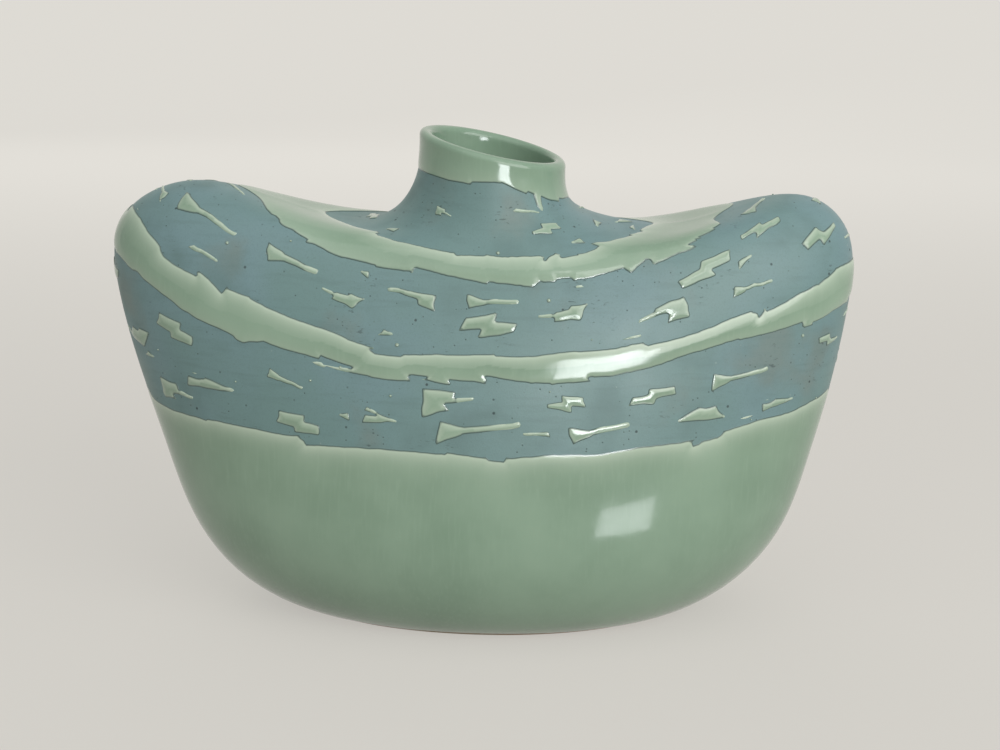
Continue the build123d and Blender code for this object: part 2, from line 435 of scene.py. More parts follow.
torn = {
    "wander": 1.4 * mm,         # slow drift of an edge
    "step": 2.2 * mm,           # sudden jogs, each a few centimetres from the next
    "stepLean": 0.004,          # how far a jog leans, as a share of the way round
    "tongue": 6.0 * mm,         # tongues along the edge
    "slit": 5.0 * mm,           # and slits into it
    "tongueHigh": 2.6 * mm,
    "tongueLong": 19 * mm,
    "fray": 0.13 * mm,
    "driftLong": 46 * mm,       # usual lengths of a drift and of a run between jogs
    "stepLong": 23 * mm,
    "tongueFrom": 0.46,         # noise above this makes a tongue, or a slit
    "slitFrom": 0.66,
    "calmReach": 0.4,           # radians from the sides over which an edge can be calmed
}


def tear(seed, grid, girth):  # how far an edge is pushed out, over one grid
    across, up = grid["across"], grid["up"]
    cells = int(girth / torn["driftLong"])
    drift = ripple(seed, across, 0 * up, cells, 1) + 0.5 * ripple(seed + 1, across, 0 * up, 3 * cells, 1)
    leaning = across + torn["stepLean"] * ripple(seed + 2, across, up, 5 * cells, 4 * mm)
    steps = stepped(seed + 3, leaning, int(girth / torn["stepLong"]))
    long = int(girth / torn["tongueLong"])
    tongues = np.clip(ripple(seed + 4, across, up, long, torn["tongueHigh"]) - torn["tongueFrom"], 0, None)
    slits = np.clip(ripple(seed + 5, across, up, long, torn["tongueHigh"]) - torn["slitFrom"], 0, None)
    fray = ripple(seed + 6, across, up, int(girth / (1.9 * mm)), 1.6 * mm)
    fray = fray + 0.8 * ripple(seed + 7, across, up, int(girth / (4 * mm)), 3 * mm)
    pushed = torn["wander"] * drift + torn["step"] * steps + torn["fray"] * fray
    return pushed + torn["tongue"] * tongues - torn["slit"] * slits


# Finishes
def tint(red, green, blue):  # a colour as it looks on a screen, 0 to 255, made linear
    def linear(value):
        value = value / 255
        return value / 12.92 if value <= 0.04045 else ((value + 0.055) / 1.055) ** 2.4
    return (linear(red), linear(green), linear(blue), 1)


class Wire:  # a socket that adds Math nodes when it is reckoned with
    def __init__(self, finish, socket):
        self.finish = finish
        self.socket = socket

    def maths(self, operation, first, second):
        return self.finish.node("ShaderNodeMath", {"operation": operation}, {0: first, 1: second})

    def __add__(self, other):
        return self.maths("ADD", self, other)

    def __sub__(self, other):
        return self.maths("SUBTRACT", self, other)

    def __mul__(self, other):
        return self.maths("MULTIPLY", self, other)

    def __rsub__(self, other):
        return self.maths("SUBTRACT", other, self)


class NodeTree:  # nodes of a material, the world or a geometry tree
    def __init__(self, tree):
        self.tree = tree
        tree.nodes.clear()

    def node(self, kind, settings=None, sockets=None, out=0):
        node = self.tree.nodes.new(kind)
        for key, value in (settings or {}).items():
            setattr(node, key, value)
        for key, value in (sockets or {}).items():
            if isinstance(value, Wire):
                self.tree.links.new(value.socket, node.inputs[key])
            else:
                node.inputs[key].default_value = value
        return Wire(self, node.outputs[out]) if node.outputs else None


class Finish(NodeTree):
    def __init__(self, name):
        self.material = bpy.data.materials.new(name)
        self.material.use_nodes = True
        super().__init__(self.material.node_tree)
        self.place = self.node("ShaderNodeTexCoord", out="Object")

    def noise(self, scale, detail=3, stretch=None):
        place = self.place
        if stretch:
            place = self.node("ShaderNodeMapping", None, {"Vector": place, "Scale": stretch})
        return self.node("ShaderNodeTexNoise", None, {"Vector": place, "Scale": scale, "Detail": detail})

    def fade(self, value, low, high, start=0, end=1):  # smooth step between two values
        sockets = {"Value": value, "From Min": low, "From Max": high, "To Min": start, "To Max": end}
        return self.node("ShaderNodeMapRange", {"interpolation_type": "SMOOTHSTEP"}, sockets)

    def blend(self, amount, first, second):
        return self.node("ShaderNodeMix", {"data_type": "RGBA"}, {0: amount, 6: first, 7: second}, out=2)

    def attribute(self, name):
        return self.node("ShaderNodeAttribute", {"attribute_name": name}, out="Fac")

    def dots(self, scale, core, rim, chance):  # round marks in some of the cells of a scattered pattern
        sockets = {"Vector": self.place, "Scale": scale, "Randomness": 1}
        reach = self.node("ShaderNodeTexVoronoi", None, sockets, out="Distance")
        draw = self.node("ShaderNodeTexVoronoi", None, sockets, out="Color")
        draw = self.node("ShaderNodeSeparateColor", None, {"Color": draw})
        return self.fade(reach, core, rim, 1, 0) * self.fade(draw - chance, 0, 0.04)

    def bump(self, height, depth, normal=None):
        sockets = {"Height": height, "Distance": depth, "Strength": 1}
        if normal:
            sockets["Normal"] = normal
        return self.node("ShaderNodeBump", None, sockets)

    def surface(self, sockets):
        shader = self.node("ShaderNodeBsdfPrincipled", None, sockets)
        self.node("ShaderNodeOutputMaterial", None, {"Surface": shader})
        return self.material


def celadonFinish():
    look = {
        "pool": tint(126, 154, 131),
        "thin": tint(145, 172, 149),
        "cream": tint(197, 213, 193),
        # dark colour for the glaze edges: partly the glaze's own dark rim, partly painted shade where the
        # raised glaze steps down onto the slip
        "edgeLineAndShade": tint(86, 108, 102),
    }
    finish = Finish("celadon")
    cloud = finish.noise(22, 4)
    streak = finish.noise(1, 4, (900, 900, 70))
    colour = finish.blend(finish.fade(cloud, 0.25, 0.78), look["pool"], look["thin"])
    colour = finish.blend(finish.fade(streak, 0.45, 0.85, 0, 0.45), colour, look["thin"])
    colour = finish.blend(finish.attribute("pale"), colour, look["cream"])
    # mask of the dark edge line, partly a real dark rim and partly painted shade at the step onto the slip
    line = finish.fade(finish.attribute("edge"), 0.15, 0.75)
    colour = finish.blend(line, look["edgeLineAndShade"], colour)
    rough = finish.fade(finish.noise(160, 3), 0.3, 0.7, 0.10, 0.17)
    normal = finish.bump(finish.noise(55, 2), 0.10 * mm)
    normal = finish.bump(finish.noise(700, 2), 0.012 * mm, normal)
    return finish.surface({
        "Base Color": colour, "Roughness": rough, "Normal": normal,
        "Coat Weight": 0.18, "Coat Roughness": 0.07,
    })


def slipFinish():
    look = {
        "even": tint(115, 145, 143),
        "blue": tint(120, 149, 153),
        "dull": tint(101, 128, 126),
        "warm": tint(122, 137, 131),
        "pit": tint(54, 68, 68),
        "rubbed": tint(150, 168, 162),
    }
    finish = Finish("blueGreySlip")
    cloud = finish.noise(17, 5)
    patch = finish.noise(46, 4)
    grain = finish.noise(1700, 2)
    brushed = finish.noise(1, 4, (60, 60, 420))
    colour = finish.blend(finish.fade(cloud, 0.42, 0.70), look["even"], look["blue"])
    colour = finish.blend(finish.fade(patch, 0.50, 0.80, 0, 0.75), colour, look["dull"])
    colour = finish.blend(finish.fade(finish.noise(31, 5), 0.54, 0.72, 0, 0.7), colour, look["warm"])
    colour = finish.blend(finish.fade(brushed, 0.50, 0.75, 0, 0.35), colour, look["dull"])
    colour = finish.blend(finish.fade(grain, 0.45, 0.75, 0, 0.3), colour, look["dull"])
    crowd = finish.fade(finish.noise(24, 2), 0.42, 0.64, 0.10, 0)  # pits come in clusters
    wide = finish.dots(210, 0.05, 0.15, 0.86 - crowd)
    fine = finish.dots(520, 0.08, 0.20, 0.90 - crowd)
    rubbed = finish.dots(330, 0.05, 0.17, 0.95)
    scuff = finish.noise(1, 3, (420, 420, 1100))
    scuff = finish.fade(scuff, 0.60, 0.70) * finish.fade(finish.noise(60, 2), 0.57, 0.70)
    mark = wide.maths("MAXIMUM", wide, fine * 0.8)
    mark = mark.maths("MAXIMUM", mark, scuff * 0.6)
    colour = finish.blend(rubbed * 0.6, colour, look["rubbed"])
    colour = finish.blend(mark * 0.85, colour, look["pit"])
    rough = finish.fade(patch, 0.3, 0.7, 0.38, 0.52) + mark * 0.2
    normal = finish.bump(grain * 0.35 - mark + rubbed * 0.5, 0.10 * mm)
    normal = finish.bump(cloud, 0.12 * mm, normal)
    return finish.surface({
        "Base Color": colour, "Roughness": rough, "Normal": normal, "Specular IOR Level": 0.4,
    })


def clayFinish():
    look = {
        "body": tint(205, 190, 164),
        "warm": tint(188, 160, 124),
        "speck": tint(112, 88, 66),
    }
    finish = Finish("bareClay")
    patch = finish.noise(70, 4)
    grain = finish.noise(2200, 3)
    speck = finish.node("ShaderNodeTexVoronoi", None, {"Vector": finish.place, "Scale": 520}, out="Distance")
    speck = finish.fade(speck, 0.06, 0.16, 0.7, 0)
    colour = finish.blend(finish.fade(patch, 0.4, 0.7), look["body"], look["warm"])
    colour = finish.blend(speck, colour, look["speck"])
    normal = finish.bump(grain - speck, 0.12 * mm)
    rough = finish.fade(grain, 0.3, 0.7, 0.72, 0.9)
    return finish.surface({"Base Color": colour, "Roughness": rough, "Normal": normal})


celadon = celadonFinish()
blueGreySlip = slipFinish()
bareClay = clayFinish()
for node in frame["nodes"].values():
    node.data.materials.clear()
    node.data.materials.append(bareClay)
print("finishes: celadon, slip, bare clay")


# Edges of the coats: level at the middle of the front and back, at the left and at the right
lines = {
    "foot": (0.44, 0.44, 0.44),
    "belly": (3.93, 3.72, 3.95),
    "lowStripe": ((5.24, 5.54, 5.14), (5.72, 6.12, 5.56)),
    "highStripe": ((7.44, 7.70, 8.12, 1.2, -0.12), (8.40, 8.80, 9.05, 0.5, 0.26)),
    "lip": (11.40, 11.20, 10.66),
}
seams = {  # the slip coats meet out of sight, under the stripes
    "low": (5.48, 5.83, 5.35),
    "high": (7.92, 8.25, 8.58, 0.85, 0.07),
    "bottom": (3.4, 3.4, 3.4),  # and end under the lower glaze and under the lip's
    "top": (11.6, 11.6, 11.6),
}
coats = {
    "slipTop": 0.5 * mm,
    "liner": 0.55 * mm,         # glaze inside the vase
    "under": -0.1 * mm,         # coats reach a hair into the clay, so nothing shows between
    "stripeUnder": 0.2 * mm,    # stripes lie on the slip
    "cell": 0.85 * mm,          # length of a grid cell along the edges
}


drop = {  # some glaze ran down from the lip, front right
    "turn": 5.35,
    "wide": 1.5 * mm,
    "long": 6 * mm,
}


def girthAt(level):
    turns = np.linspace(0, 2 * math.pi, 720)
    spots = ringSpots(outerSkin.ring(np.full(len(turns), level))[0], turns)
    return np.linalg.norm(np.diff(spots, axis=0), axis=1).sum()


def lineField(grid, line):  # distance above a line, measured up the face
    steps = np.linalg.norm(np.gradient(grid["spots"], axis=0), axis=2)
    perLevel = steps / np.abs(np.gradient(grid["levels"], axis=0))
    return (grid["levels"] - swoop(grid["turns"], *line)) * perLevel


def stripePiece(name, low, high, seed, calm):
    centre = (np.array(low) + np.array(high)) / 2
    girth = girthAt(centre.mean())
    turns = evenTurns(centre.mean(), int(girth / coats["cell"]))
    span = swoop(turns, *(np.array(high) - np.array(low)))
    middle = swoop(turns, *centre)
    reach = 1.15 * span  # leaves room for the torn edges
    grid = outsideGrid(middle - reach, middle + reach, np.linspace(0, 1, 44), turns)
    back = np.arcsin(np.sin(turns))
    ease = 1 - calm * np.exp(-(back / torn["calmReach"]) ** 2)  # evener where it crosses the wings
    field = np.minimum(
        lineField(grid, low) + ease * tear(seed, grid, girth),
        ease * tear(seed + 20, grid, girth) - lineField(grid, high),
    )
    return glazePiece(name, grid, field, coats["slipTop"], coats["stripeUnder"])


lowerBand = {
    "cell": 1.05 * mm,
    "start": 0.30,              # its grid starts under the foot line and ends this far over the belly line
    "slack": 0.48,
    "wave": 0.6 * mm,           # the edge at the foot wavers
    "swell": 0.3,               # thin glaze, so it hardly swells
}


def lowerGlazePiece():
    girth = girthAt(lines["belly"][0])
    turns = evenTurns(lines["belly"][0], int(girth / lowerBand["cell"]))
    top = swoop(turns, *lines["belly"])
    rows = np.concatenate([np.linspace(0, 0.05, 7), np.linspace(0.08, 0.78, 22), np.linspace(0.80, 1, 34)])
    grid = outsideGrid(np.full_like(turns, lowerBand["start"]), top + lowerBand["slack"], rows, turns)
    wave = lowerBand["wave"] * ripple(71, grid["across"], 0 * grid["up"], 24, 1)
    field = np.minimum(
        lineField(grid, lines["foot"]) + wave,
        tear(43, grid, girth) - lineField(grid, lines["belly"]),
    )
    return glazePiece("lowerGlaze", grid, field, coats["slipTop"], coats["under"], lowerBand["swell"])


def roundLip(outside):  # rings over one rounded edge of the lip
    lip = outerSkin.rows[-1]
    bend = form["lipRound"]
    turns = np.linspace(0, math.pi / 2, 7)
    radius = lip[0] - bend + bend * np.cos(turns)
    if not outside:
        radius = (lip[0] - form["lipWall"] + bend - bend * np.cos(turns))[::-1]
        turns = turns[::-1]
    height = lip[1] + bend * np.sin(turns)
    rings = np.tile(lip, (len(turns), 1))
    rings[:, 0] = rings[:, 2] = radius
    rings[:, 1] = rings[:, 3] = height
    return rings


lipBand = {"outside": 10.2, "inside": 9.6}  # levels between which the lip's glaze is laid out


def lipGrid(turns):  # up the outside of the neck, over the lip and down inside
    levels = np.linspace(lipBand["outside"], outerSkin.last, 34)
    outside = outerSkin.ring(levels)[0]
    inside = innerSkin.ring(np.linspace(innerSkin.last, lipBand["inside"], 14))[0]
    rings = np.concatenate([outside[:-1], roundLip(True), roundLip(False), inside[1:]])
    over = np.linspace(outerSkin.last, outerSkin.last + 2, len(rings) - len(levels) + 1)
    marks = np.concatenate([levels[:-1], over])
    return stackGrid(rings, marks, turns)


def lipSeat(rows):  # the glaze thins from the outside of the lip to the inside
    away = rows[:, :2] - outerSkin.rows[-1, 4] * np.array([1, 0])
    outward = (away * rows[:, 3:5]).sum(axis=1) / np.linalg.norm(away, axis=1)
    return np.interp(outward, [-1, 1], [coats["liner"] - bead["proud"], coats["slipTop"]])


def lipGlazePiece():
    girth = 2 * math.pi * neckRadius
    turns = math.pi / 2 + np.linspace(0, 2 * math.pi, int(girth / (0.7 * mm)), endpoint=False)
    grid = lipGrid(turns)
    beside = (drop["turn"] - turns) * neckRadius / drop["wide"]
    drip = drop["long"] * np.sqrt(np.clip(1 - beside ** 2, 0, 1))
    field = lineField(grid, lines["lip"]) + 0.8 * tear(51, grid, girth) + drip
    field = np.where(grid["levels"] > outerSkin.last, 1, field)
    return glazePiece("lipGlaze", grid, field, lipSeat, coats["under"])


def gridFaces(grid, capped=False, parted=False):  # four-sided faces of a grid, its last row as one face
    index = np.arange(grid["levels"].size).reshape(grid["levels"].shape)
    right = np.roll(index, -1, axis=1)
    if parted:  # at the back, so that it can lie flat
        index, right = index[:, :-1], right[:, :-1]
    faces = np.stack([index[:-1], right[:-1], right[1:], index[1:]], axis=2).reshape(-1, 4)
    faces = [tuple(face) for face in faces.tolist()]
    return faces + [tuple(index[-1].tolist())] if capped else faces


def sheetPiece(name, grid, top, under, material, capped=False):
    spots = grid["spots"].reshape(-1, 3)
    normals = grid["normals"].reshape(-1, 3)
    points, faces = closedShell(spots + normals * top, spots + normals * under, gridFaces(grid, capped))
    values = {"edge": np.full(len(points), 9.0), "pale": np.zeros(len(points))}
    print("%s: %d faces" % (name, len(faces)))
    return plainObject(name, points, faces, values, material)


def slipGrid(low, high, rows):
    turns = evenTurns((low[0] + high[0]) / 2, 360)
    return outsideGrid(swoop(turns, *low), swoop(turns, *high), np.linspace(0, 1, rows), turns)


def linerPiece():  # from the lip's glaze down the inside and over the floor
    turns = math.pi / 2 + np.linspace(0, 2 * math.pi, 200, endpoint=False)
    walls = innerSkin.ring(np.linspace(lipBand["inside"], 0, 70))[0]
    floor = np.repeat(walls[-1:], 9, axis=0)
    shrink = np.linspace(0.95, 0.1, 9)
    floor[:, 0] *= shrink
    floor[:, 2] *= shrink
    rings = np.concatenate([walls, floor])
    marks = np.full(len(rings), float(outerSkin.last))
    grid = stackGrid(rings, marks, turns)
    return sheetPiece("innerGlaze", grid, coats["liner"], coats["under"], celadon, capped=True)


lowerGlaze = lowerGlazePiece()
lowStripe = stripePiece("lowGlazeStripe", *lines["lowStripe"], 101, 0)
highStripe = stripePiece("highGlazeStripe", *lines["highStripe"], 269, 1)
lipGlaze = lipGlazePiece()
innerGlaze = linerPiece()
lowerGrid = slipGrid(seams["bottom"], seams["low"], 30)
middleGrid = slipGrid(seams["low"], seams["high"], 30)
neckGrid = slipGrid(seams["high"], seams["top"], 60)
lowerSlip = sheetPiece("lowerSlip", lowerGrid, coats["slipTop"], coats["under"], blueGreySlip)
middleSlip = sheetPiece("middleSlip", middleGrid, coats["slipTop"], coats["under"], blueGreySlip)
neckSlip = sheetPiece("neckSlip", neckGrid, coats["slipTop"], coats["under"], blueGreySlip)

for piece, node, slot in (
    (lowerGlaze, "lower_glaze", "glaze"),
    (lowStripe, "low_glaze_stripe", "glaze"),
    (highStripe, "high_glaze_stripe", "glaze"),
    (lipGlaze, "lip_glaze", "glaze"),
    (innerGlaze, "inner_glaze", "glaze"),
    (lowerSlip, "lower_slip", "slip"),
    (middleSlip, "middle_slip", "slip"),
    (neckSlip, "neck_slip", "slip"),
):
    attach(piece, "root")
    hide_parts(node)

# Flecks of glaze on the slip, and small beads, laid over it by one geometry tree
flecks = {
    "cell": 0.65 * mm,
    "under": -0.25 * mm,        # flecks are bedded in the slip
    "scraps": 40,               # large torn shapes
    "slivers": 14,              # slim and small ones
    "scrapMargin": 6.0 * mm,    # scraps keep this far off the edges of the coats
    "sliverMargin": 3.2 * mm,
    "tilt": 0.16,               # turned a little, in radians
    "paleReach": 1.7 * mm,
    "sliverGap": 2.0 * mm,      # room between scraps and slivers
    "beadMargin": 1.0 * mm,
    "highest": 10.6,            # level on the neck above which there are none
    "squeeze": 0.5,             # strewn on a squeezed layout, so they lie further apart lengthways
    "sheet": (18 * mm, 12 * mm),    # half the sheet that one shape is cut from
}


def bar(x, y, left, right, low, slant, leftHigh, rightHigh):  # inside of one tapered bar of a fleck
    along = (x - (left + right) / 2 - slant * y) / ((right - left) / 2)
    half = (leftHigh + (rightHigh - leftHigh) * (along + 1) / 2) / 2
    middle = low + (leftHigh + rightHigh) / 4
    return np.minimum((right - left) / 2 * (1 - np.abs(along)), half - np.abs(y - middle))


def wedge(rng, x, y):  # one thin end, one broad slanted end
    long, high = rng.uniform(14, 20) * mm, rng.uniform(6, 9) * mm
    slant = rng.uniform(-0.7, 0.7)
    field = bar(x, y, -long / 2, long / 2, -high / 2, slant, 0.9 * mm, high)
    notch = bar(x, y, long * 0.12, long, high * rng.uniform(-0.5, 0.1), 0.4, 0.5 * mm, high * 0.5)
    return np.minimum(field, -notch) if rng.uniform() < 0.5 else field


def flaredBar(rng, x, y):  # a slim bar with one flared end
    long, high = rng.uniform(16, 24) * mm, rng.uniform(2.2, 3.6) * mm
    flare = rng.uniform(5, 8.5) * mm
    field = bar(x, y, -long / 2, long / 2, -high / 2, 0, rng.uniform(1.0, 2.0) * mm, high)
    low = -flare * rng.uniform(0.3, 0.7)
    end = bar(x, y, long * 0.22, long / 2 + 1.5 * mm, low, rng.uniform(-0.6, 0.6), high, flare)
    return np.maximum(field, end)


def steppedBar(rng, x, y):  # two lengths side by side, one a step higher
    long, high = rng.uniform(9, 13) * mm, rng.uniform(3.8, 6.0) * mm
    step = high * rng.uniform(0.30, 0.55) * rng.choice([-1, 1])
    slant, tip = rng.uniform(-0.6, 0.6), rng.uniform(0.3, 0.8)
    left = bar(x, y, -long, long * 0.15, -high / 2, slant, high * tip, high)
    slant, tip = rng.uniform(-0.8, 0.8), rng.uniform(0.5, 1)
    right = bar(x, y, -long * 0.25, long * 0.8, step - high / 2, slant, high, high * tip)
    return np.maximum(left, right)


def chunk(rng, x, y):  # a stout piece with a corner out of it and a tail
    long, high = rng.uniform(9, 14) * mm, rng.uniform(7, 10) * mm
    slant, tip = rng.uniform(-0.5, 0.5), rng.uniform(0.6, 1)
    field = bar(x, y, -long / 2, long / 2, -high / 2, slant, high * tip, high)
    inset, side = rng.uniform(0, 0.2), rng.choice([-0.75, 0.1])
    corner = bar(x, y, -long, -long * inset, high * side, 0.5, high, high * 0.6)
    tail = bar(x, y, -long * 1.1, 0, high * rng.uniform(-0.4, 0.1), 0.2, 0.9 * mm, 2.2 * mm)
    return np.maximum(np.minimum(field, -corner), tail)


def scrapField(rng, x, y):  # any of the four, facing either way
    kind = (wedge, flaredBar, steppedBar, chunk)[rng.integers(4)]
    return kind(rng, x * rng.choice([-1, 1]), y)


def sliverField(rng, x, y):  # a slim wedge, or a small three-cornered chip
    x = x * rng.choice([-1, 1])
    if rng.uniform() < 0.5:
        long = rng.uniform(4, 9) * mm
        return bar(x, y, -long, long, 0, rng.uniform(-1, 1), 1.0 * mm, rng.uniform(1.7, 2.6) * mm)
    long = rng.uniform(2.2, 3.6) * mm
    return bar(x, y, -long, long, -long / 2, rng.uniform(-0.6, 0.6), 0.8 * mm, rng.uniform(2.8, 4.4) * mm)


def fleckShape(seed, holder, makeField):
    rng = np.random.default_rng(seed)
    halfLong, halfHigh = flecks["sheet"]
    across = np.arange(-halfLong, halfLong, flecks["cell"])
    upwards = np.arange(-halfHigh, halfHigh, flecks["cell"])
    x, y = np.meshgrid(across, upwards)
    share = x / (64 * mm) + 0.5
    warpX = x + 0.6 * mm * ripple(seed + 1, share, y, 16, 2.5 * mm)
    warpY = y + 0.45 * mm * ripple(seed + 2, share, y, 14, 3.5 * mm)
    grid = {
        "spots": np.stack([x, y, 0 * x], axis=2),
        "normals": np.stack([0 * x, 0 * x, 0 * x + 1], axis=2),
        "up": y,
        "closed": False,
    }
    rows, faces = film(grid, makeField(rng, warpX, warpY))
    points, faces = closedShell(rows[:, :3], rows[:, :3], faces)
    values = filmValues(rows, flecks["paleReach"])
    values["rise"] = np.concatenate([beadHeight(rows[:, 6]), np.full(len(rows), flecks["under"])])
    return shapeIn(holder, "fleckShape%02d" % seed, points, faces, values)


def shapeIn(holder, name, points, faces, values):
    shape = plainObject(name, points, faces, values)
    bpy.context.scene.collection.objects.unlink(shape)
    holder.objects.link(shape)
    return shape


def beadShape(holder):  # a small round drop, a few dozen faces
    radius, sides, rings = 0.55 * mm, 10, 3
    turns = np.arange(sides) * 2 * math.pi / sides
    points, reach = [(0, 0, 0)], [radius]
    for ring in range(1, rings + 1):
        r = radius * ring / rings
        points += [(r * math.cos(t), r * math.sin(t), 0) for t in turns]
        reach += [radius - r] * sides
    faces = [(0, 1 + k, 1 + (k + 1) % sides) for k in range(sides)]
    for ring in range(rings - 1):
        a, b = 1 + ring * sides, 1 + (ring + 1) * sides
        faces += [(a + k, b + k, b + (k + 1) % sides, a + (k + 1) % sides) for k in range(sides)]
    reach = np.array(reach)
    points, faces = closedShell(np.array(points), np.array(points), faces)
    dome = 0.4 * mm * np.sqrt(1 - (1 - reach / radius) ** 2)
    values = {
        "rise": np.concatenate([dome, np.full(len(dome), flecks["under"])]),
        # low values at the rim give each bead a faint dark edge, partly painted shade
        "edge": np.tile(0.35 + reach / mm, 2),
        "pale": np.full(2 * len(dome), 0.5),
    }
    return shapeIn(holder, "beadShape", points, faces, values)


def drapeTree():  # strews flat shapes over a carrier and lays them on its face
    group = bpy.data.node_groups.new("drape", "GeometryNodeTree")
    inputs = {
        "Layout": "NodeSocketGeometry",
        "Shapes": "NodeSocketCollection",
        "Spacing": "NodeSocketFloat",
        "Density": "NodeSocketFloat",
        "Smallest": "NodeSocketFloat",
        "Largest": "NodeSocketFloat",
        "Tilt": "NodeSocketFloat",
        "Kinds": "NodeSocketInt",
        "Seed": "NodeSocketInt",
        "Finish": "NodeSocketMaterial",
    }
    for name, kind in inputs.items():
        group.interface.new_socket(name=name, in_out="INPUT", socket_type=kind)
    group.interface.new_socket(name="Draped", in_out="OUTPUT", socket_type="NodeSocketGeometry")
    tree = NodeTree(group)
    entry = tree.tree.nodes.new("NodeGroupInput")
    given = {name: Wire(tree, entry.outputs[name]) for name in inputs}

    def stored(name, kind="FLOAT_VECTOR"):
        return tree.node("GeometryNodeInputNamedAttribute", {"data_type": kind}, {"Name": name})

    def onFace(geometry):  # the flat layout's points, put where they are on the vase
        return tree.node("GeometryNodeSetPosition", None, {"Geometry": geometry, "Position": stored("spot")})

    carrier = onFace(given["Layout"])

    def onCarrier(value):  # a value of the carrier at its nearest point
        return tree.node("GeometryNodeSampleNearestSurface", {"data_type": "FLOAT_VECTOR"},
                         {"Mesh": carrier, "Value": value})

    points = onFace(tree.node("GeometryNodeDistributePointsOnFaces", {"distribute_method": "POISSON"}, {
        "Mesh": given["Layout"], "Distance Min": given["Spacing"], "Density Max": given["Density"],
        "Density Factor": stored("room", "FLOAT"), "Seed": given["Seed"],
    }))
    turn = tree.node("FunctionNodeAxesToRotation", {"primary_axis": "Z", "secondary_axis": "X"}, {
        "Primary Axis": stored("outward"), "Secondary Axis": stored("along"),
    })
    sway = tree.node("FunctionNodeRandomValue", {"data_type": "FLOAT"}, {
        2: -1, 3: 1, "Seed": given["Seed"],
    }, out=1)
    sway = tree.node("ShaderNodeCombineXYZ", None, {"Z": sway * given["Tilt"]})
    sway = tree.node("FunctionNodeEulerToRotation", None, {"Euler": sway})
    turn = tree.node("FunctionNodeRotateRotation", {"rotation_space": "LOCAL"}, {0: turn, 1: sway})
    size = tree.node("FunctionNodeRandomValue", {"data_type": "FLOAT"}, {
        2: given["Smallest"], 3: given["Largest"], "Seed": given["Seed"],
    }, out=1)
    pick = tree.node("FunctionNodeRandomValue", {"data_type": "INT"}, {
        4: 0, 5: given["Kinds"], "Seed": given["Seed"],
    }, out=2)
    shapes = tree.node("GeometryNodeCollectionInfo", None, {
        "Collection": given["Shapes"], "Separate Children": True, "Reset Children": True,
    })
    strewn = tree.node("GeometryNodeInstanceOnPoints", None, {
        "Points": points, "Instance": shapes, "Pick Instance": True, "Instance Index": pick,
        "Rotation": turn, "Scale": size,
    })
    real = tree.node("GeometryNodeRealizeInstances", None, {"Geometry": strewn})
    lift = tree.node("ShaderNodeVectorMath", {"operation": "SCALE"}, {
        0: onCarrier(stored("outward")), "Scale": stored("rise", "FLOAT"),
    })
    laid = tree.node("ShaderNodeVectorMath", {"operation": "ADD"}, {
        0: onCarrier(tree.node("GeometryNodeInputPosition")), 1: lift,
    })
    draped = tree.node("GeometryNodeSetPosition", None, {"Geometry": real, "Position": laid})
    finished = tree.node("GeometryNodeSetMaterial", None, {"Geometry": draped, "Material": given["Finish"]})
    tree.node("NodeGroupOutput", None, {"Draped": finished})
    return group


def draped(name, grid, room, group, squeeze, values):
    spots = grid["spots"] + grid["normals"] * coats["slipTop"]
    girth = np.linalg.norm(np.diff(grid["spots"], axis=1), axis=2).sum(axis=1).mean()
    layout = np.stack([grid["across"] * girth * squeeze, grid["up"], 0 * grid["up"]], axis=2)
    carrier = plainObject(name + "Layout", layout.reshape(-1, 3), gridFaces(grid, parted=True), {
        "room": room.reshape(-1).astype(float),
        "spot": spots.reshape(-1, 3),
        "along": grid["along"].reshape(-1, 3),
        "outward": grid["normals"].reshape(-1, 3),
    })
    modifier = carrier.modifiers.new("drape", "NODES")
    modifier.node_group = group
    for item in group.interface.items_tree:
        if item.in_out == "INPUT" and item.name in values:
            modifier[item.identifier] = values[item.name]
    shown = carrier.evaluated_get(bpy.context.evaluated_depsgraph_get())
    mesh = bpy.data.meshes.new_from_object(shown)
    mesh.name = name
    mesh.shade_smooth()
    mesh.set_sharp_from_angle(angle=sharpAngle)
    carrier.modifiers.clear()
    bpy.data.objects.remove(carrier)
    piece = linked(name, mesh)
    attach(piece, "root")
    print("%s: %d faces" % (name, len(mesh.polygons)))
    return piece


def shapeHolder(name, count, makeField, firstSeed):
    holder = bpy.data.collections.new(name)
    for seed in range(firstSeed, firstSeed + count):
        fleckShape(seed, holder, makeField)
    return holder


def awayFrom(piece, grid):  # distance of each grid point from a piece's points
    tree = nearTree([point.co for point in piece.data.vertices])
    reach = np.array([tree.find(spot)[2] for spot in grid["spots"].reshape(-1, 3)])
    return reach.reshape(grid["levels"].shape)


